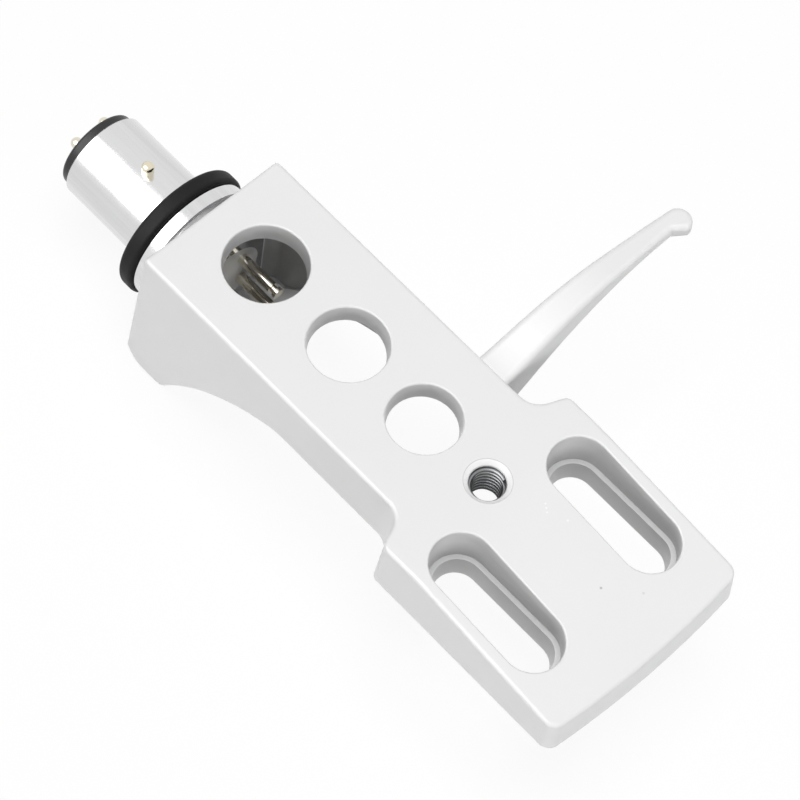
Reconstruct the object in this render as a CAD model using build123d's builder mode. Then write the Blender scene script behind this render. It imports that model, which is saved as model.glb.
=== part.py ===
from build123d import *
from math import radians, sqrt, tan
import os

# Turntable headshell with an 8 mm bayonet collar. Millimetres.
# Origin: on the collar's axis, where the washer's front face meets the shoulder.
# +X points along the shell to its nose, +Y to the finger lift, +Z up.

# Shell, in plan, at the level of its top
axis_to_top = 7.55
arm_half_width = 7.15
rear_x = 2.4
waist_x = 31.86
waist_angle = 68.0
waist_step = 2.9
nose_x = 52.6
nose_bow = 0.58
rear_corner_length = 0.5
rear_corner_depth = 0.17
rear_corner_length_below = 2.6
rear_corner_depth_below = 0.58
waist_inner_r = 2.0
waist_outer_r = 0.7
nose_corner_r = 1.1
wall_draft = 2.8
rear_draft = 4.1

# Shell, in side view
slab_depth = 5.56
tail_depth = 15.2
slope_start_x = 36.9
slope_angle = 6.8
slope_blend_r = 25.0
tail_heel_x = 6.0
tail_front_x = 18.55
tail_curve_r = 23.5
heel_r = 1.3
tail_blend_r = 6.0
top_rim_r = 0.35
bottom_rim_r = 0.3

# Hollow underside
roof_thickness = 1.8
side_wall = 2.1
rear_wall = 2.5
tail_floor = 1.15
tail_base = 3.05
floor_end_x = 11.8
channel_end_x = 31.0
hollow_corner_r = 1.2

# Round holes along the arm, from the collar to the nose
hole_places = (8.89, 18.43, 27.11)
hole_radii = (3.72, 3.53, 3.27)
hole_rim_r = 0.17
hole_draft = 6.0

# Tapped hole for a balance weight
weight_hole_x = 34.25
weight_thread_r = 1.5
weight_sink_r = 1.95
weight_sink_angle = 90.0
weight_relief_r = 2.6
weight_relief_depth = 1.2

# Counterbored slots for the cartridge screws
slot_x = 41.95
cartridge_spacing = 12.7
slot_length = 11.9
slot_width = 4.15
slot_ledge = 0.42
slot_draft = 5.0
ledge_above_base = 2.05
slot_rim_r = 0.17

# Finger lift, cast in one piece with the shell
lift_rear_x = 25.95
lift_width = 3.0
lift_rear_bow = 0.2
lift_tip_x = 28.1
lift_tip_y = 26.85
lift_tip_r = 1.15
lift_neck_width = 1.5
lift_rise = 2.45
lift_foot_up = 0.1
lift_foot_slope = 0.55
lift_head_down = 0.35
lift_root_slope = 0.1
lift_knee_y = 10.8
lift_knee_down = 1.58
lift_flat_y = 19.0
lift_thin_y = 24.6
lift_tip_thickness = 1.2
lift_top_edge_r = 0.5
lift_under_edge_r = 0.2

# Collar
tube_r = 4.0
tube_bore_r = 3.3
tube_length = 10.4
tube_edge = 0.12
flange_r = 5.85
flange_width = 1.38
flange_edge = 0.15
neck_r = 5.2
neck_clearance = 0.1
seat_depth = 0.25
spigot_r = 4.5

# Locking pin
lock_x = -5.0
lock_r = 0.53
lock_height = 1.15
lock_dome_r = 0.4
lock_depth = 1.6

# Washer
washer_r = 6.18
washer_width = 1.53
washer_edge_r = 0.4

# Pin carrier and contact pins
cap_r = 3.66
cap_width = 0.9
cap_edge_r = 0.3
pin_pitch = 3.0
contact_r = 0.5
contact_reach = 1.1
terminal_end_x = 9.3
terminal_neck_r = 0.32
terminal_neck_length = 0.4
terminal_head_length = 0.35

# Grub screw that clamps the collar's spigot
screw_x = 3.75
screw_r = 1.0
screw_length = 2.6
screw_socket_r = 0.5
screw_socket_depth = 1.0

front_half_width = arm_half_width + waist_step
base_z = axis_to_top - slab_depth
tail_z = axis_to_top - tail_depth
lean = tan(radians(wall_draft))
rear_lean = tan(radians(rear_draft))
hollow_rear_x = rear_x + rear_wall
hollow_half_width = arm_half_width - side_wall
roof_z = axis_to_top - roof_thickness
seat_x = rear_x + seat_depth
ledge_z = base_z + ledge_above_base
beyond = 5.0
nearly = 0.01


def outer_rim(faces):
    """Edges of the given faces that only one of them has."""
    edges = [edge for face in faces for edge in face.edges()]
    return ShapeList(
        edge for edge in edges if sum(edge.is_same(other) for other in edges) == 1
    )


def arc_centre(start, end, radius):
    """Centre of the arc from start to end that bulges away from it, to the left of the chord."""
    middle = (Vector(start) + Vector(end)) / 2
    chord = Vector(end) - Vector(start)
    rise = sqrt(radius**2 - (chord.length / 2) ** 2)
    return middle + chord.rotate(Axis.Z, -90).normalized() * rise


# Finger lift: its outline from above, cut to its outline from the front
lift_top_z = axis_to_top + lift_rise
lift_under_z = lift_top_z - lift_tip_thickness
lift_root_y = arm_half_width - side_wall / 2
lift_mid_y = (lift_root_y + lift_tip_y) / 2
lift_front_x = lift_rear_x + lift_width
tip_rear_x = lift_tip_x - lift_tip_r
tip_front_x = lift_tip_x + lift_tip_r
neck = (tip_rear_x + lift_neck_width, lift_tip_y - lift_tip_r)
with BuildPart() as finger_lift:
    with BuildSketch(Plane.XY.offset(lift_top_z)):
        with BuildLine():
            ThreePointArc(
                (lift_rear_x, lift_root_y),
                ((lift_rear_x + tip_rear_x) / 2 - lift_rear_bow, lift_mid_y),
                (tip_rear_x, lift_tip_y),
            )
            ThreePointArc(
                (tip_rear_x, lift_tip_y),
                (lift_tip_x, lift_tip_y + lift_tip_r),
                (tip_front_x, lift_tip_y),
            )
            Polyline(
                (tip_front_x, lift_tip_y),
                neck,
                (lift_front_x, lift_root_y),
                (lift_rear_x, lift_root_y),
            )
        make_face()
    extrude(amount=-(lift_top_z - base_z), taper=-wall_draft)
    with BuildSketch(Plane.YZ.offset(lift_rear_x - beyond)):
        with BuildLine():
            Line((lift_root_y, base_z + lift_foot_up), (lift_root_y, axis_to_top - lift_head_down))
            Spline(
                (lift_root_y, axis_to_top - lift_head_down),
                (lift_knee_y, lift_top_z - lift_knee_down),
                (lift_flat_y, lift_top_z),
                tangents=((1, lift_root_slope), (1, 0)),
            )
            Polyline(
                (lift_flat_y, lift_top_z),
                (lift_tip_y + beyond, lift_top_z),
                (lift_tip_y + beyond, lift_under_z),
                (lift_thin_y, lift_under_z),
            )
            Spline(
                (lift_thin_y, lift_under_z),
                (lift_root_y, base_z + lift_foot_up),
                tangents=((-1, 0), (-1, -lift_foot_slope)),
            )
        make_face()
    extrude(amount=lift_width + 2 * beyond, mode=Mode.INTERSECT)
    for facing, edge_r in ((1, lift_top_edge_r), (-1, lift_under_edge_r)):
        flats = finger_lift.faces().filter_by(lambda face: facing * face.normal_at().Z > 0.5)
        free_edges = outer_rim(flats).filter_by(lambda edge: edge.center().Y > lift_root_y + nearly)
        fillet(free_edges, edge_r)

# Shell outline from above, grown downwards by the draft of the casting
waist_run = waist_step / tan(radians(waist_angle))
with BuildPart() as shell_body:
    for depth, corner_length, corner_depth in (
        (0, rear_corner_length, rear_corner_depth),
        (tail_depth, rear_corner_length_below, rear_corner_depth_below),
    ):
        grow = depth * lean
        back_x = rear_x - depth * rear_lean
        with BuildSketch(Plane.XY.offset(axis_to_top - depth)) as plan:
            side_y = arm_half_width + grow
            front_y = front_half_width + grow
            waist_back_x = waist_x - grow
            nose_side_x = nose_x - nose_bow + grow
            with BuildLine():
                for side in (-1, 1):
                    Polyline(
                        (nose_side_x, side * front_y),
                        (waist_back_x + waist_run, side * front_y),
                        (waist_back_x, side * side_y),
                        (back_x + corner_length, side * side_y),
                    )
                    TangentArc(
                        (back_x + corner_length, side * side_y),
                        (back_x, side * (side_y - corner_depth)),
                        tangent=(-1, 0),
                    )
                Line((back_x, corner_depth - side_y), (back_x, side_y - corner_depth))
                ThreePointArc((nose_side_x, -front_y), (nose_x + grow, 0), (nose_side_x, front_y))
            make_face()
            for corner_x, corner_y, radius in (
                (waist_back_x, side_y, waist_inner_r),
                (waist_back_x + waist_run, front_y, waist_outer_r),
                (nose_side_x, front_y, nose_corner_r),
            ):
                for side in (-1, 1):
                    fillet(plan.vertices().sort_by_distance((corner_x, side * corner_y))[0], radius)
    loft(ruled=True)

    # Side view: deep tail, thin slab, sloping front
    tail_curve_start = (tail_heel_x, tail_z)
    tail_curve_end = (tail_front_x, base_z)
    far_x = nose_x + beyond
    far_z = axis_to_top - (far_x - slope_start_x) * tan(radians(slope_angle))
    with BuildSketch(Plane.XZ) as side_view:
        with BuildLine():
            RadiusArc(tail_curve_start, tail_curve_end, tail_curve_r)
            Polyline(
                tail_curve_end,
                (far_x, base_z),
                (far_x, far_z),
                (slope_start_x, axis_to_top),
                (rear_x - beyond, axis_to_top),
                (rear_x - beyond, tail_z),
                tail_curve_start,
            )
        make_face()
        for corner, corner_r in (
            ((slope_start_x, axis_to_top), slope_blend_r),
            (tail_curve_start, heel_r),
            (tail_curve_end, tail_blend_r),
        ):
            fillet(side_view.vertices().sort_by_distance(corner)[0], corner_r)
    extrude(amount=front_half_width + beyond, both=True, mode=Mode.INTERSECT)

    # Soft edges all round the top and the underside
    top_faces = shell_body.faces().filter_by(lambda face: face.normal_at().Z > 0.9)
    fillet(outer_rim(top_faces), top_rim_r)
    under_faces = shell_body.faces().filter_by(lambda face: face.normal_at().Z < -0.3)
    fillet(outer_rim(under_faces), bottom_rim_r)

    # Hollow under the arm, with a curved floor of even thickness in the tail
    curve_centre = arc_centre(tail_curve_start, tail_curve_end, tail_curve_r)
    floor_r = tail_curve_r + tail_floor
    floor_z = tail_z + tail_base
    floor_x = curve_centre.X - sqrt(floor_r**2 - (floor_z - curve_centre.Y) ** 2)
    lip_z = curve_centre.Y + sqrt(floor_r**2 - (floor_end_x - curve_centre.X) ** 2)
    with BuildSketch(Plane.XZ) as hollow_view:
        with BuildLine():
            RadiusArc((floor_x, floor_z), (floor_end_x, lip_z), floor_r)
            Polyline(
                (floor_end_x, lip_z),
                (floor_end_x, base_z - beyond),
                (channel_end_x, base_z - beyond),
                (channel_end_x, roof_z),
                (hollow_rear_x, roof_z),
                (hollow_rear_x, floor_z),
                (floor_x, floor_z),
            )
        make_face()
    extrude(amount=hollow_half_width, both=True, mode=Mode.SUBTRACT)
    hollow_ends = shell_body.edges().filter_by(Axis.Z).filter_by_position(Axis.Z, tail_z, roof_z)
    rear_corners = hollow_ends.filter_by_position(Axis.X, hollow_rear_x - nearly, hollow_rear_x + nearly)
    front_corners = hollow_ends.filter_by_position(Axis.X, channel_end_x - nearly, channel_end_x + nearly)
    fillet(rear_corners + front_corners, hollow_corner_r)

    # Round holes through the roof, widening upwards
    with BuildSketch(Plane.XY.offset(axis_to_top)):
        for hole_x, hole_r in zip(hole_places, hole_radii):
            with Locations((hole_x, 0)):
                Circle(hole_r - hole_rim_r)
    extrude(amount=-roof_thickness, taper=hole_draft, mode=Mode.SUBTRACT)
    at_top = shell_body.edges().filter_by_position(Axis.Z, axis_to_top - nearly, axis_to_top + nearly)
    hole_rims = at_top.filter_by(GeomType.CIRCLE).filter_by(lambda edge: edge.length > 2 * min(hole_radii))
    fillet(hole_rims, hole_rim_r)

    # Tapped hole, countersunk above and relieved below
    with Locations((weight_hole_x, 0, axis_to_top)):
        CounterSinkHole(weight_thread_r, weight_sink_r, counter_sink_angle=weight_sink_angle)
    with Locations(Plane((weight_hole_x, 0, base_z), z_dir=(0, 0, -1))):
        CounterBoreHole(weight_thread_r, weight_relief_r, weight_relief_depth)

    # Counterbored slots, half an inch apart
    slot_narrowing = 2 * ledge_above_base * tan(radians(slot_draft))
    with BuildSketch(Plane.XY.offset(base_z)):
        with GridLocations(0, cartridge_spacing, 1, 2):
            with Locations((slot_x, 0)):
                SlotOverall(slot_length - slot_narrowing, slot_width - slot_narrowing)
    extrude(amount=slab_depth, taper=-slot_draft, mode=Mode.SUBTRACT)
    with BuildSketch(Plane.XY.offset(ledge_z)):
        with GridLocations(0, cartridge_spacing, 1, 2):
            with Locations((slot_x, 0)):
                SlotOverall(slot_length + 2 * slot_ledge, slot_width + 2 * slot_ledge)
    extrude(amount=slab_depth, taper=-wall_draft, mode=Mode.SUBTRACT)
    slot_reach = slot_width / 2 + slot_ledge + slab_depth * lean
    slot_rims = (
        shell_body.edges(Select.LAST)
        .filter_by(lambda edge: edge.bounding_box().min.Z > ledge_z + slot_rim_r)
        .filter_by(lambda edge: abs(abs(edge.center().Y) - cartridge_spacing / 2) < slot_reach)
    )
    fillet(slot_rims, slot_rim_r)

    # Seat and bore for the collar, and the tapped hole of its grub screw
    with BuildSketch(Plane.YZ.offset(seat_x)):
        Circle(neck_r + neck_clearance)
    extrude(amount=-beyond, mode=Mode.SUBTRACT)
    with BuildSketch(Plane.YZ.offset(seat_x)):
        Circle(spigot_r)
    extrude(amount=hollow_rear_x - seat_x, mode=Mode.SUBTRACT)
    with BuildSketch(Plane.XY.offset(tail_z)):
        with Locations((screw_x, 0)):
            Circle(screw_r)
    extrude(amount=-tail_z, mode=Mode.SUBTRACT)

    # Finger lift
    add(finger_lift.part)
shell_body.part.label = "shell_body"

# Collar turned in one piece: tube, shoulder, neck and spigot, bored through
with BuildPart() as bayonet_collar:
    with BuildSketch(Plane.XZ):
        with BuildLine():
            Polyline(
                (-tube_length, tube_bore_r),
                (-tube_length, tube_r - tube_edge),
                (-tube_length + tube_edge, tube_r),
                (0, tube_r),
                (0, flange_r - flange_edge),
                (flange_edge, flange_r),
                (flange_width - flange_edge, flange_r),
                (flange_width, flange_r - flange_edge),
                (flange_width, neck_r),
                (seat_x, neck_r),
                (seat_x, spigot_r),
                (hollow_rear_x, spigot_r),
                (hollow_rear_x, tube_bore_r),
                close=True,
            )
        make_face()
    revolve(axis=Axis.X)
    with BuildSketch(Plane.XY.offset(tube_bore_r - lock_depth)):
        with Locations((lock_x, 0)):
            Circle(lock_r)
    extrude(amount=tube_r, mode=Mode.SUBTRACT)
bayonet_collar.part.label = "bayonet_collar"

# Round-headed pin standing on top of the tube, let into the carrier
with BuildPart() as locking_pin:
    with BuildSketch(Plane.XY.offset(tube_bore_r - lock_depth)):
        with Locations((lock_x, 0)):
            Circle(lock_r)
    extrude(amount=tube_r + lock_height - tube_bore_r + lock_depth)
    fillet(locking_pin.faces().sort_by(Axis.Z)[-1].edges(), lock_dome_r)
locking_pin.part.label = "locking_pin"

# Rubber washer against the shoulder
with BuildPart() as rubber_washer:
    with BuildSketch(Plane.YZ):
        Circle(washer_r)
        Circle(tube_r, mode=Mode.SUBTRACT)
    extrude(amount=-washer_width)
    round_edges = rubber_washer.edges().filter_by(GeomType.CIRCLE)
    fillet(round_edges.filter_by(lambda edge: edge.radius > tube_r + nearly), washer_edge_r)
rubber_washer.part.label = "rubber_washer"

# Moulded carrier that fills the collar and holds the four contacts
pin_places = GridLocations(pin_pitch, pin_pitch, 2, 2)
with BuildPart() as pin_carrier:
    with BuildSketch(Plane.YZ.offset(hollow_rear_x)):
        Circle(tube_bore_r)
    extrude(amount=-(hollow_rear_x + tube_length))
    with BuildSketch(Plane.YZ.offset(-tube_length)):
        Circle(cap_r)
    extrude(amount=-cap_width)
    fillet(pin_carrier.faces().sort_by(Axis.X)[0].edges(), cap_edge_r)
    with BuildSketch(Plane.YZ.offset(-tube_length - cap_width)):
        with pin_places:
            Circle(contact_r)
    extrude(amount=hollow_rear_x + tube_length + cap_width, mode=Mode.SUBTRACT)
    with BuildSketch(Plane.XY.offset(tube_bore_r - lock_depth)):
        with Locations((lock_x, 0)):
            Circle(lock_r)
    extrude(amount=tube_r, mode=Mode.SUBTRACT)
pin_carrier.part.label = "pin_carrier"

# Contact pins: domed end outside, solder head inside the tail
contact_front_x = -tube_length - cap_width - contact_reach
head_x = terminal_end_x - terminal_head_length
neck_x = head_x - terminal_neck_length
contact_pins = []
for place in pin_places:
    pin_y = place.position.X
    pin_z = place.position.Y
    with BuildPart() as contact_pin:
        with BuildSketch(Plane.XZ.offset(-pin_y)):
            with BuildLine():
                ThreePointArc(
                    (contact_front_x, pin_z),
                    (contact_front_x + contact_r * (1 - sqrt(0.5)), pin_z + contact_r * sqrt(0.5)),
                    (contact_front_x + contact_r, pin_z + contact_r),
                )
                Polyline(
                    (contact_front_x + contact_r, pin_z + contact_r),
                    (neck_x, pin_z + contact_r),
                    (neck_x, pin_z + terminal_neck_r),
                    (head_x, pin_z + terminal_neck_r),
                    (head_x, pin_z + contact_r),
                    (terminal_end_x, pin_z + contact_r),
                    (terminal_end_x, pin_z),
                    (contact_front_x, pin_z),
                )
            make_face()
        revolve(axis=Axis((0, pin_y, pin_z), (1, 0, 0)))
    contact_pin.part.label = f"contact_pin_{len(contact_pins) + 1}"
    contact_pins.append(contact_pin.part)

# Grub screw from underneath, with a hexagon socket
with BuildPart() as collar_screw:
    with BuildSketch(Plane.XY.offset(-spigot_r)):
        with Locations((screw_x, 0)):
            Circle(screw_r)
    extrude(amount=-screw_length)
    with BuildSketch(Plane.XY.offset(-spigot_r - screw_length)):
        with Locations((screw_x, 0)):
            RegularPolygon(screw_socket_r, 6)
    extrude(amount=screw_socket_depth, mode=Mode.SUBTRACT)
collar_screw.part.label = "collar_screw"

os.makedirs("parts", exist_ok=True)
pieces = [
    shell_body.part,
    bayonet_collar.part,
    locking_pin.part,
    rubber_washer.part,
    pin_carrier.part,
    collar_screw.part,
    *contact_pins,
]
for piece in pieces:
    export_step(piece, f"parts/{piece.label}.step")
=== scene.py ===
import bpy
from bpy.props import FloatProperty, FloatVectorProperty, PointerProperty
from mathutils import Matrix, Vector


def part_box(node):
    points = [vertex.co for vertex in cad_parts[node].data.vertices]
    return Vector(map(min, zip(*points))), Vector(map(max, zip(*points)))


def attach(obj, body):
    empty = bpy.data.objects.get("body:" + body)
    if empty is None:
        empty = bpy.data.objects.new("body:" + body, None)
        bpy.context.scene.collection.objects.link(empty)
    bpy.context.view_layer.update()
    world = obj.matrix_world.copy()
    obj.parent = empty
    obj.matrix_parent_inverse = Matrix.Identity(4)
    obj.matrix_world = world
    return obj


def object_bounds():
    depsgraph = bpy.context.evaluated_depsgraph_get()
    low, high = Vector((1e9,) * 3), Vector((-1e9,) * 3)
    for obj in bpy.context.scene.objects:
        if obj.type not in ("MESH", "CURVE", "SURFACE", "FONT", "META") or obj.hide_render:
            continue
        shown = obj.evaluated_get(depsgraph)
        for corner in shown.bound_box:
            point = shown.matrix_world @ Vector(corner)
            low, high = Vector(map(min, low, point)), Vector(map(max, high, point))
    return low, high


bl_info = {
    "name": "Turntable headshell",
    "version": (1, 0, 0),
    "blender": (4, 5, 0),
    "location": "3D View > Sidebar > Headshell",
    "description": "Finishes, thread and studio of a turntable headshell",
    "category": "Object",
}

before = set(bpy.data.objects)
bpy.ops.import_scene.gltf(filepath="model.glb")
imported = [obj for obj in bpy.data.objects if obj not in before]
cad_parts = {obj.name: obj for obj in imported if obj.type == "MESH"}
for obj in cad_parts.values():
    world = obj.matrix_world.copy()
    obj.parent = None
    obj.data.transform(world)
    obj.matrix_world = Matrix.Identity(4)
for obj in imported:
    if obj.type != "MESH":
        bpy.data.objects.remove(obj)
cad_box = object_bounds()
MM = 0.001

# The tapped hole for the balance weight: the foot of its wall, the wall's length and radius, and
# the metal's colour: bare aluminium, drawn darker as painted shade for the depth of the hole
weight_hole = Vector((34.25, 0.0, 3.19)) * MM
weight_hole_wall = 3.91 * MM
weight_hole_radius = 1.5 * MM
bare_aluminium_with_painted_shade = "#8C8D8E"

# Rings painted round the tapped hole, the outer one first: radius in mm and colour. The two thin
# grey rings are painted shade at the countersink's edges, and the light ring between them is
# painted light on the countersink
countersink_light_and_shade_rings = ((1.97, "#BEBEBE"), (1.91, "#E9E9E9"), (1.56, "#BEBEBE"))
ring_edge = 0.02 * MM

# Nicks and specks in the paint: place and radius in mm, and colour
paint_nicks = (
    ((38.5, 2.1, 7.3), 0.03, "#E2E2E2"),
    ((38.8, 1.9, 7.3), 0.03, "#E4E4E4"),
    ((39.1, 1.7, 7.3), 0.03, "#E2E2E2"),
    ((40.6, 2.5, 7.1), 0.05, "#E0E0E0"),
    ((46.2, 0.7, 6.4), 0.06, "#A6A6A4"),
    ((48.6, 3.0, 6.2), 0.07, "#C4C4C2"),
)
nick_edge = 0.08 * MM

# Painted shade: deep places where the enamel is drawn darker, after the photograph, because the
# lamps
# alone leave them too pale: the middle and the half size of a box in mm, the heights where the
# change starts and where it is whole, and the share of the painted shade's dark tone
painted_shade_boxes = (
    ((41.95, 0.0, 4.1), (7.0, 9.2, 2.08), 6.1, 4.9, 0.2),  # both slots
    ((18.0, 5.3, 0.0), (13.0, 0.5, 5.6), 9.0, 8.0, 0.5),  # the tail's inner sides
    ((18.0, -5.3, 0.0), (13.0, 0.5, 5.6), 9.0, 8.0, 0.5),
    ((5.58, 4.2, 0.0), (0.67, 0.6, 5.6), 9.0, 8.0, 0.5),  # its rounded rear corners
    ((5.58, -4.2, 0.0), (0.67, 0.6, 5.6), 9.0, 8.0, 0.5),
)
# The dark tone of the painted shade
painted_shade_tone = "#101010"

# How much of the contact carrier's inner end is pale
carrier_end_length = 0.6 * MM

# The softboxes: direction from the object, distance and size in metres, power in watts, and the
# rays that don't see the lamp
softboxes = {
    "key_softbox": ((-0.28, -0.617, 0.735), 0.45, 0.48, 2.1, "visible_diffuse"),
    "top_light": ((0.0, 0.0, 1.0), 0.6, 0.4, 4.65, "visible_glossy"),
    "side_fill": ((-0.15, -1.0, 0.09), 0.4, 0.1, 0.57, "visible_glossy"),
    "nose_fill": ((1.0, -0.2, 0.09), 0.4, 0.1, 0.57, "visible_glossy"),
}

# The world's light on the object, and how much white the eye and gloss see in world and floor
world_level = 0.03
world_shares = (1.0, 1.0)
floor_shares = (0.93, 0.9)

# The floor's reach each way in metres, and how far under the foot of the tail it lies
floor_reach = 3.0
floor_gap = 0.02 * MM

# The camera, fitted to the photograph: the way back from the object, its right and its place
camera_back = Vector((0.286798, -0.383314, 0.877962))
camera_right = Vector((0.684078, 0.723529, 0.092426))
camera_place = Vector((108.612, -112.508, 264.504)) * MM
camera_lens = 169.484
camera_sensor = 36.0


def linear(text):
    """An sRGB hex colour as the linear values that Blender works in."""
    parts = [int(text[i : i + 2], 16) / 255 for i in (1, 3, 5)]
    return [c / 12.92 if c <= 0.04045 else ((c + 0.055) / 1.055) ** 2.4 for c in parts]


def add_node(tree, kind, inputs=None, **settings):
    """Adds a node with its settings, and fills each input with a value or a link."""
    node = tree.nodes.new(kind)
    for name, value in settings.items():
        setattr(node, name, value)
    for name, value in (inputs or {}).items():
        if isinstance(value, bpy.types.NodeSocket):
            tree.links.new(value, node.inputs[name])
        else:
            node.inputs[name].default_value = value
    return node


def new_material(name):
    """An empty node material, its tree, and the place on the piece."""
    material = bpy.data.materials.new(name)
    material.use_nodes = True
    material.node_tree.nodes.clear()
    place = add_node(material.node_tree, "ShaderNodeTexCoord").outputs["Object"]
    return material, material.node_tree, place


def layered(tree, colour, layers):
    """Lays colours over a first one in turn, each by its share."""
    for share, upper in layers:
        pair = {0: share, 6: colour, 7: (*upper, 1)}
        colour = add_node(tree, "ShaderNodeMix", pair, data_type="RGBA").outputs[2]
    return colour


def near_axis(tree, place, point, radius, edge):
    """One within a radius of the upright line through a point, and nought past a soft edge."""
    away = add_node(tree, "ShaderNodeVectorMath", {0: place, 1: point}, operation="SUBTRACT")
    level = {0: away.outputs[0], 1: Vector((1.0, 1.0, 0.0))}
    flat = add_node(tree, "ShaderNodeVectorMath", level, operation="MULTIPLY")
    length = add_node(tree, "ShaderNodeVectorMath", {0: flat.outputs[0]}, operation="LENGTH")
    steps = {"From Min": radius, "From Max": radius + edge, "To Min": 1.0, "To Max": 0.0}
    share = add_node(tree, "ShaderNodeMapRange", {"Value": length.outputs["Value"], **steps})
    return share.outputs["Result"]


def painted_shade_share(tree, place, centre, half, full, whole, strength):
    """A share of painted shade inside a box, growing with depth, and nought outside the box."""
    parts = add_node(tree, "ShaderNodeSeparateXYZ", {0: place}).outputs
    steps = {"From Min": whole * MM, "From Max": full * MM, "To Min": strength, "To Max": 0.0}
    share = add_node(tree, "ShaderNodeMapRange", {"Value": parts["Z"], **steps}).outputs["Result"]
    for axis in range(3):
        span = {0: parts[axis], 1: centre[axis] * MM, 2: half[axis] * MM}
        within = add_node(tree, "ShaderNodeMath", span, operation="COMPARE")
        both = {0: share, 1: within.outputs[0]}
        share = add_node(tree, "ShaderNodeMath", both, operation="MULTIPLY").outputs[0]
    return share


def white_enamel(colours):
    # Stoving enamel sprayed on a die-cast light alloy. The eye gets a satin white skin with a
    # faint orange peel, slightly uneven gloss, and a few dust specks and nicks. Deep places are
    # drawn darker as painted shade, after the photograph. The tapped hole's countersink is drawn
    # lighter as painted light, between thin grey rings of painted shade at its edges. The wall of
    # that hole is bare metal, drawn darker as painted shade.
    material, tree, place = new_material("white_stoving_enamel")
    cloud = add_node(
        tree, "ShaderNodeTexNoise", {"Vector": place, "Scale": 1 / (7 * MM), "Detail": 3.0}
    )
    cells = add_node(tree, "ShaderNodeTexVoronoi", {"Vector": place, "Scale": 1 / (6 * MM)})
    steps = {"From Min": 0.01, "From Max": 0.035, "To Min": 0.3, "To Max": 0.0}
    speck = add_node(tree, "ShaderNodeMapRange", {"Value": cells.outputs["Distance"], **steps})
    layers = [
        (cloud.outputs["Fac"], colours.paint),
        (speck.outputs["Result"], linear("#8A8A86")),
    ]
    # Painted shade in the slots and on the tail's inner sides and rear corners
    for shade_box in painted_shade_boxes:
        layers.append((painted_shade_share(tree, place, *shade_box), linear(painted_shade_tone)))
    for point, radius, tint in paint_nicks:
        nick = near_axis(tree, place, Vector(point) * MM, radius * MM, nick_edge)
        layers.append((nick, linear(tint)))
    # Painted shade at the countersink's edges and painted light on the countersink itself
    for radius, tint in countersink_light_and_shade_rings:
        painted_ring = near_axis(tree, place, weight_hole, radius * MM, ring_edge)
        layers.append((painted_ring, linear(tint)))
    # The hole's wall is bare metal, with its colour darkened as painted shade
    bare = near_axis(tree, place, weight_hole, weight_hole_radius + 0.01 * MM, 0.005 * MM)
    layers.append((bare, linear(bare_aluminium_with_painted_shade)))
    gloss = add_node(
        tree, "ShaderNodeTexNoise", {"Vector": place, "Scale": 1 / (2.5 * MM), "Detail": 4.0}
    )
    steps = {"From Min": 0.3, "From Max": 0.7, "To Min": 0.3, "To Max": 0.4}
    roughness = add_node(tree, "ShaderNodeMapRange", {"Value": gloss.outputs["Fac"], **steps})
    peel = add_node(
        tree, "ShaderNodeTexNoise", {"Vector": place, "Scale": 1 / (0.55 * MM), "Detail": 2.0}
    )
    relief = {"Height": peel.outputs["Fac"], "Strength": 1.0, "Distance": 0.006 * MM}
    bump = add_node(tree, "ShaderNodeBump", relief)
    shader = add_node(
        tree,
        "ShaderNodeBsdfPrincipled",
        {
            "Base Color": layered(tree, (*colours.paint_shade, 1), layers),
            "Metallic": bare,
            "Roughness": roughness.outputs["Result"],
            "IOR": 1.5,
            "Coat Weight": 0.15,
            "Coat Roughness": 0.1,
            "Normal": bump.outputs["Normal"],
        },
    )
    add_node(tree, "ShaderNodeOutputMaterial", {"Surface": shader.outputs[0]})
    return material


def turned_metal(name, colour, ring_spacing, roughness, depth):
    # Lathe-turned metal with its axis along X: rings run round it, so the bump changes along X
    # alone. The rings are drawn coarser than real ones, which are too fine to show. Faint streaks
    # run lengthwise, where the piece was polished along its axis.
    material, tree, place = new_material(name)
    along = add_node(tree, "ShaderNodeMapping", {"Vector": place, "Scale": (1.0, 0.02, 0.02)})
    fine = {"Vector": along.outputs[0], "Scale": 1 / ring_spacing, "Detail": 3.0}
    rings = add_node(tree, "ShaderNodeTexNoise", fine)
    lengthwise = add_node(tree, "ShaderNodeMapping", {"Vector": place, "Scale": (0.04, 1.0, 1.0)})
    long = {"Vector": lengthwise.outputs[0], "Scale": 1 / (0.7 * MM), "Detail": 3.0}
    streaks = add_node(tree, "ShaderNodeTexNoise", long)
    dark = (*[c * 0.86 for c in colour], 1)
    tone = layered(tree, dark, [(streaks.outputs["Fac"], [c * 1.12 for c in colour])])
    haze = add_node(
        tree, "ShaderNodeTexNoise", {"Vector": place, "Scale": 1 / (3 * MM), "Detail": 3.0}
    )
    steps = {"From Min": 0.3, "From Max": 0.7, "To Min": roughness * 0.8, "To Max": roughness * 1.3}
    gloss = add_node(tree, "ShaderNodeMapRange", {"Value": haze.outputs["Fac"], **steps})
    relief = {"Height": rings.outputs["Fac"], "Strength": 1.0, "Distance": depth}
    bump = add_node(tree, "ShaderNodeBump", relief)
    shader = add_node(
        tree,
        "ShaderNodeBsdfPrincipled",
        {
            "Base Color": tone,
            "Metallic": 1.0,
            "Roughness": gloss.outputs["Result"],
            "Normal": bump.outputs["Normal"],
        },
    )
    add_node(tree, "ShaderNodeOutputMaterial", {"Surface": shader.outputs[0]})
    return material


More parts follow.
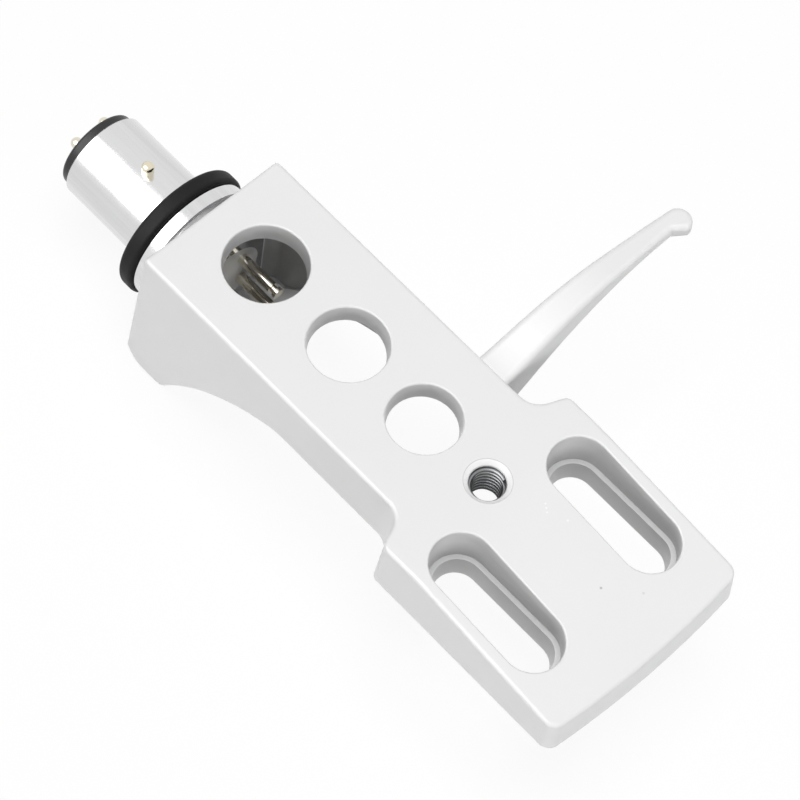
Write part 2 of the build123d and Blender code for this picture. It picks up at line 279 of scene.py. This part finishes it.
def moulded(name, colour, grain, depth, roughness, specular=0.5, end=None, end_x=0.0):
    # Moulded rubber or plastic: fine grain from the mould, and gloss that varies where it is
    # handled. A piece whose inner end is another colour has it beyond a place along X.
    material, tree, place = new_material(name)
    cloud = add_node(
        tree, "ShaderNodeTexNoise", {"Vector": place, "Scale": 1 / (2 * MM), "Detail": 4.0}
    )
    layers = [(cloud.outputs["Fac"], [c * 1.25 for c in colour])]
    if end is not None:
        across = add_node(tree, "ShaderNodeSeparateXYZ", {0: place}).outputs["X"]
        beyond = add_node(tree, "ShaderNodeMath", {0: across, 1: end_x}, operation="GREATER_THAN")
        layers.append((beyond.outputs[0], end))
    low, high = roughness
    steps = {"From Min": 0.3, "From Max": 0.7, "To Min": low, "To Max": high}
    gloss = add_node(tree, "ShaderNodeMapRange", {"Value": cloud.outputs["Fac"], **steps})
    skin = add_node(
        tree, "ShaderNodeTexNoise", {"Vector": place, "Scale": 1 / grain, "Detail": 2.0}
    )
    relief = {"Height": skin.outputs["Fac"], "Strength": 1.0, "Distance": depth}
    bump = add_node(tree, "ShaderNodeBump", relief)
    shader = add_node(
        tree,
        "ShaderNodeBsdfPrincipled",
        {
            "Base Color": layered(tree, (*[c * 0.8 for c in colour], 1), layers),
            "Roughness": gloss.outputs["Result"],
            "IOR": 1.42,
            "Specular IOR Level": specular,
            "Normal": bump.outputs["Normal"],
        },
    )
    add_node(tree, "ShaderNodeOutputMaterial", {"Surface": shader.outputs[0]})
    return material


def thread_tree():
    """A tree that winds a V-shaped ridge into a screw thread along Z, fading out at both ends."""
    tree = bpy.data.node_groups.new("screw_thread", "GeometryNodeTree")
    tree.interface.new_socket(name="Geometry", in_out="OUTPUT", socket_type="NodeSocketGeometry")
    lengths = ("Radius", "Pitch", "Length", "Ridge Height", "Crest Width", "Root Sink")
    kinds = dict.fromkeys(lengths, "Float")
    kinds.update({"Segments": "Int", "Start": "Vector", "Material": "Material"})
    for name, kind in kinds.items():
        tree.interface.new_socket(name=name, in_out="INPUT", socket_type=f"NodeSocket{kind}")
    given = add_node(tree, "NodeGroupInput").outputs
    ratio = {0: given["Length"], 1: given["Pitch"]}
    turns = add_node(tree, "ShaderNodeMath", ratio, operation="DIVIDE").outputs[0]
    helix = add_node(
        tree,
        "GeometryNodeCurveSpiral",
        {
            "Resolution": given["Segments"],
            "Rotations": turns,
            "Start Radius": given["Radius"],
            "End Radius": given["Radius"],
            "Height": given["Length"],
        },
    )
    upright = add_node(tree, "GeometryNodeSetCurveNormal", {"Curve": helix.outputs[0]}, mode="Z_UP")
    # The ridge fades over the first and the last third of a turn
    share = add_node(tree, "GeometryNodeSplineParameter").outputs["Factor"]
    rest = add_node(tree, "ShaderNodeMath", {0: 1.0, 1: share}, operation="SUBTRACT")
    end = add_node(tree, "ShaderNodeMath", {0: share, 1: rest.outputs[0]}, operation="MINIMUM")
    thirds = add_node(tree, "ShaderNodeMath", {0: turns, 1: 3.0}, operation="MULTIPLY")
    rise = {0: end.outputs[0], 1: thirds.outputs[0]}
    risen = add_node(tree, "ShaderNodeMath", rise, operation="MULTIPLY")
    fade = add_node(tree, "ShaderNodeMath", {0: 1.0, 1: risen.outputs[0]}, operation="MINIMUM")
    size = {"Curve": upright.outputs[0], "Radius": fade.outputs[0]}
    faded = add_node(tree, "GeometryNodeSetCurveRadius", size)
    # The ridge's section: its root sinks into the wall, and its crest stands towards the axis
    corners = {}
    sides = (("Pitch", "Root Sink", -0.5), ("Crest Width", "Ridge Height", -0.5))
    sides += (("Crest Width", "Ridge Height", 0.5), ("Pitch", "Root Sink", 0.5))
    for number, (width, inwards, half) in enumerate(sides, 1):
        along = add_node(tree, "ShaderNodeMath", {0: given[width], 1: half}, operation="MULTIPLY")
        reach = {"X": given[inwards], "Y": along.outputs[0]}
        corners[f"Point {number}"] = add_node(tree, "ShaderNodeCombineXYZ", reach).outputs[0]
    ridge = add_node(tree, "GeometryNodeCurvePrimitiveQuadrilateral", corners, mode="POINTS")
    sweep = {"Curve": faded.outputs[0], "Profile Curve": ridge.outputs[0], "Fill Caps": True}
    swept = add_node(tree, "GeometryNodeCurveToMesh", sweep)
    move = {"Geometry": swept.outputs[0], "Translation": given["Start"]}
    placed = add_node(tree, "GeometryNodeTransform", move)
    real = add_node(tree, "GeometryNodeRealizeInstances", {"Geometry": placed.outputs[0]})
    finish = {"Geometry": real.outputs[0], "Material": given["Material"]}
    coated = add_node(tree, "GeometryNodeSetMaterial", finish)
    add_node(tree, "NodeGroupOutput", {"Geometry": coated.outputs[0]})
    return tree


def grown(name, tree, values):
    """Runs a node tree on a new object and keeps the result as a plain mesh."""
    piece = bpy.data.objects.new(name, bpy.data.meshes.new(name))
    bpy.context.scene.collection.objects.link(piece)
    modifier = piece.modifiers.new(name, "NODES")
    modifier.node_group = tree
    for socket in tree.interface.items_tree:
        if socket.in_out == "INPUT":
            modifier[socket.identifier] = values[socket.name]
    evaluated = piece.evaluated_get(bpy.context.evaluated_depsgraph_get())
    mesh = bpy.data.meshes.new_from_object(evaluated)
    piece.modifiers.remove(modifier)
    piece.data = mesh
    return piece


def coat(node, material):
    """Gives a CAD node a new material in its own slots."""
    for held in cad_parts[node].material_slots:
        held.material = material


class HeadshellSettings(bpy.types.PropertyGroup):
    paint: FloatVectorProperty(
        name="Paint",
        description="Lighter tone of the enamel",
        subtype="COLOR",
        default=linear("#D5D5D5"),
    )
    paint_shade: FloatVectorProperty(
        name="Paint shade",
        description="Darker tone of the enamel",
        subtype="COLOR",
        default=linear("#D2D2D2"),
    )
    plating: FloatVectorProperty(
        name="Plating",
        description="Chromium plating of the collar",
        subtype="COLOR",
        default=linear("#DADADB"),
    )
    gilding: FloatVectorProperty(
        name="Gilding",
        description="Gold flash of the contacts",
        subtype="COLOR",
        default=linear("#E4DECF"),
    )
    pin_metal: FloatVectorProperty(
        name="Key pin",
        description="Brass of the key pin",
        subtype="COLOR",
        default=linear("#E2DAC2"),
    )
    rubber: FloatVectorProperty(
        name="Rubber",
        description="Rubber of the washer",
        subtype="COLOR",
        default=linear("#121212"),
    )
    plastic: FloatVectorProperty(
        name="Carrier",
        description="Plastic of the contact carrier",
        subtype="COLOR",
        default=linear("#202021"),
    )
    carrier_end: FloatVectorProperty(
        name="Carrier's inner end",
        description="Pale inner end of the contact carrier",
        subtype="COLOR",
        default=linear("#D0D0CE"),
    )
    weight_pitch: FloatProperty(
        name="Weight thread pitch",
        description="Pitch of the tapped hole for the balance weight",
        unit="LENGTH",
        default=0.5 * MM,
    )
    weight_ridge: FloatProperty(
        name="Weight thread depth",
        description="How far the thread stands into the tapped hole",
        unit="LENGTH",
        default=0.27 * MM,
    )


class HEADSHELL_OT_painted_shell(bpy.types.Operator):
    """Enamels the cast shell"""

    bl_idname = "headshell.painted_shell"
    bl_label = "Painted shell"

    def execute(self, context):
        coat("shell_body", white_enamel(context.scene.headshell))
        return {"FINISHED"}


class HEADSHELL_OT_plated_collar(bpy.types.Operator):
    """Plates the collar and finishes its key pin"""

    bl_idname = "headshell.plated_collar"
    bl_label = "Plated collar"

    def execute(self, context):
        colours = context.scene.headshell
        plate = turned_metal("chromium_plate", colours.plating, 0.35 * MM, 0.16, 0.0006 * MM)
        coat("bayonet_collar", plate)
        brass = turned_metal("turned_brass", colours.pin_metal, 0.2 * MM, 0.16, 0.001 * MM)
        coat("locking_pin", brass)
        return {"FINISHED"}


class HEADSHELL_OT_washer(bpy.types.Operator):
    """Gives the washer its rubber"""

    bl_idname = "headshell.washer"
    bl_label = "Rubber washer"

    def execute(self, context):
        tone = context.scene.headshell.rubber
        rubber = moulded("nitrile_rubber", tone, 0.15 * MM, 0.008 * MM, (0.5, 0.65), specular=0.25)
        coat("rubber_washer", rubber)
        return {"FINISHED"}


class HEADSHELL_OT_contacts(bpy.types.Operator):
    """Finishes the contact carrier and its four gilt pins"""

    bl_idname = "headshell.contacts"
    bl_label = "Contacts and carrier"

    def execute(self, context):
        colours = context.scene.headshell
        pale = {
            "end": colours.carrier_end,
            "end_x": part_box("pin_carrier")[1].x - carrier_end_length,
        }
        plastic = moulded("moulded_abs", colours.plastic, 0.1 * MM, 0.003 * MM, (0.3, 0.45), **pale)
        coat("pin_carrier", plastic)
        gilding = turned_metal("gold_flash", colours.gilding, 0.2 * MM, 0.08, 0.0005 * MM)
        for number in range(1, 5):
            coat(f"contact_pin_{number}", gilding)
        return {"FINISHED"}


class HEADSHELL_OT_weight_thread(bpy.types.Operator):
    """Cuts the thread of the tapped hole for a balance weight"""

    bl_idname = "headshell.weight_thread"
    bl_label = "Weight thread"

    def execute(self, context):
        sizes = context.scene.headshell
        # The thread is bare aluminium, darkened as painted shade
        metal = turned_metal("tapped_aluminium_in_painted_shade", linear(bare_aluminium_with_painted_shade), 0.3 * MM, 0.32, 0.001 * MM)
        piece = grown(
            "weight_thread",
            thread_tree(),
            {
                "Radius": weight_hole_radius,
                "Pitch": sizes.weight_pitch,
                "Length": weight_hole_wall - sizes.weight_pitch,
                "Ridge Height": sizes.weight_ridge,
                "Crest Width": sizes.weight_pitch / 8,
                "Root Sink": -0.02 * MM,
                "Segments": 64,
                "Start": weight_hole + Vector((0, 0, sizes.weight_pitch / 2)),
                "Material": metal,
            },
        )
        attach(piece, "root")
        return {"FINISHED"}


class HEADSHELL_OT_grub_screw(bpy.types.Operator):
    """Finishes the grub screw that holds the collar"""

    bl_idname = "headshell.grub_screw"
    bl_label = "Grub screw"

    def execute(self, context):
        steel = turned_metal("blackened_steel", linear("#4A4A4C"), 0.2 * MM, 0.35, 0.001 * MM)
        coat("collar_screw", steel)
        return {"FINISHED"}


class HEADSHELL_OT_studio(bpy.types.Operator):
    """Builds the floor, the lights and the camera"""

    bl_idname = "headshell.studio"
    bl_label = "Studio"

    def execute(self, context):
        scene = context.scene
        scene.view_settings.view_transform = "Standard"
        lay_floor(scene)
        light_world(scene)
        for name, (direction, distance, size, power, unseen) in softboxes.items():
            hang_lamp(scene, name, direction, distance, size, power, unseen)
        set_camera(scene)
        return {"FINISHED"}


def seen_share(tree, eye, gloss):
    """One share for rays from the camera or through glass, one from gloss, none for others."""
    rays = add_node(tree, "ShaderNodeLightPath").outputs
    direct = {0: rays["Is Camera Ray"], 1: rays["Is Transmission Ray"]}
    seen = add_node(tree, "ShaderNodeMath", direct, operation="MAXIMUM")
    by_eye = add_node(tree, "ShaderNodeMath", {0: seen.outputs[0], 1: eye}, operation="MULTIPLY")
    by_gloss = add_node(
        tree, "ShaderNodeMath", {0: rays["Is Glossy Ray"], 1: gloss}, operation="MULTIPLY"
    )
    both = {0: by_eye.outputs[0], 1: by_gloss.outputs[0]}
    return add_node(tree, "ShaderNodeMath", both, operation="MAXIMUM").outputs[0]


def lay_floor(scene):
    """A pale floor just under the foot of the tail."""
    level = cad_box[0].z - floor_gap
    mesh = bpy.data.meshes.new("floor")
    signs = ((-1, -1), (1, -1), (1, 1), (-1, 1))
    corners = [(x * floor_reach, y * floor_reach, level) for x, y in signs]
    mesh.from_pydata(corners, [], [(0, 1, 2, 3)])
    floor = bpy.data.objects.new("floor", mesh)
    scene.collection.objects.link(floor)
    # Matt pale card: it shows white to the eye and in gloss, and keeps a faint shadow.
    material, tree, place = new_material("white_card")
    fleck = add_node(
        tree, "ShaderNodeTexNoise", {"Vector": place, "Scale": 1 / (4 * MM), "Detail": 2.0}
    )
    tone = layered(tree, (*linear("#DCDCDC"), 1), [(fleck.outputs["Fac"], linear("#E0E0E0"))])
    card = add_node(tree, "ShaderNodeBsdfDiffuse", {"Color": tone})
    glow = add_node(tree, "ShaderNodeEmission", {"Color": (1, 1, 1, 1), "Strength": 1.0})
    shares = {0: seen_share(tree, *floor_shares), 1: card.outputs[0], 2: glow.outputs[0]}
    mixed = add_node(tree, "ShaderNodeMixShader", shares)
    add_node(tree, "ShaderNodeOutputMaterial", {"Surface": mixed.outputs[0]})
    mesh.materials.append(material)


def light_world(scene):
    """An even pale surround that shows white behind the object."""
    world = bpy.data.worlds.new("studio")
    world.use_nodes = True
    tree = world.node_tree
    tree.nodes.clear()
    dim = add_node(tree, "ShaderNodeBackground", {"Color": (1, 1, 1, 1), "Strength": world_level})
    white = add_node(tree, "ShaderNodeBackground", {"Color": (1, 1, 1, 1), "Strength": 1.0})
    shares = {0: seen_share(tree, *world_shares), 1: dim.outputs[0], 2: white.outputs[0]}
    mixed = add_node(tree, "ShaderNodeMixShader", shares)
    add_node(tree, "ShaderNodeOutputWorld", {"Surface": mixed.outputs[0]})
    scene.world = world


def hang_lamp(scene, name, direction, distance, size, power, unseen):
    """A square softbox that faces the object and is hidden from one kind of ray."""
    lamp = bpy.data.lights.new(name, "AREA")
    lamp.shape = "SQUARE"
    lamp.size = size
    lamp.energy = power
    holder = bpy.data.objects.new(name, lamp)
    setattr(holder, unseen, False)
    towards = Vector(direction).normalized()
    aim = (cad_box[0] + cad_box[1]) / 2
    holder.location = aim + towards * distance
    holder.rotation_mode = "QUATERNION"
    holder.rotation_quaternion = towards.to_track_quat("Z", "Y")
    scene.collection.objects.link(holder)


def set_camera(scene):
    """The camera at the photograph's place."""
    camera = bpy.data.cameras.new("camera")
    camera.sensor_width = camera_sensor
    camera.lens = camera_lens
    camera.clip_start = 0.01
    camera.clip_end = 20.0
    holder = bpy.data.objects.new("camera", camera)
    back = camera_back.normalized()
    right = (camera_right - back * camera_right.dot(back)).normalized()
    turn = Matrix((right, back.cross(right), back)).transposed().to_4x4()
    holder.matrix_world = Matrix.Translation(camera_place) @ turn
    scene.collection.objects.link(holder)
    scene.camera = holder


class HEADSHELL_PT_sidebar(bpy.types.Panel):
    """Lists the pieces and their settings"""

    bl_idname = "HEADSHELL_PT_sidebar"
    bl_label = "Headshell"
    bl_space_type = "VIEW_3D"
    bl_region_type = "UI"
    bl_category = "Headshell"

    def draw(self, context):
        for name in HeadshellSettings.__annotations__:
            self.layout.prop(context.scene.headshell, name)
        for operator in OPERATORS:
            self.layout.operator(operator.bl_idname)


OPERATORS = (
    HEADSHELL_OT_painted_shell,
    HEADSHELL_OT_plated_collar,
    HEADSHELL_OT_washer,
    HEADSHELL_OT_contacts,
    HEADSHELL_OT_weight_thread,
    HEADSHELL_OT_grub_screw,
    HEADSHELL_OT_studio,
)
CLASSES = (HeadshellSettings, *OPERATORS, HEADSHELL_PT_sidebar)


def register():
    for cls in CLASSES:
        bpy.utils.register_class(cls)
    bpy.types.Scene.headshell = PointerProperty(type=HeadshellSettings)


def unregister():
    del bpy.types.Scene.headshell
    for cls in reversed(CLASSES):
        bpy.utils.unregister_class(cls)


def main():
    register()
    bpy.ops.headshell.painted_shell()
    bpy.ops.headshell.plated_collar()
    bpy.ops.headshell.washer()
    bpy.ops.headshell.contacts()
    bpy.ops.headshell.weight_thread()
    bpy.ops.headshell.grub_screw()
    bpy.ops.headshell.studio()


if __name__ == "__main__":
    main()
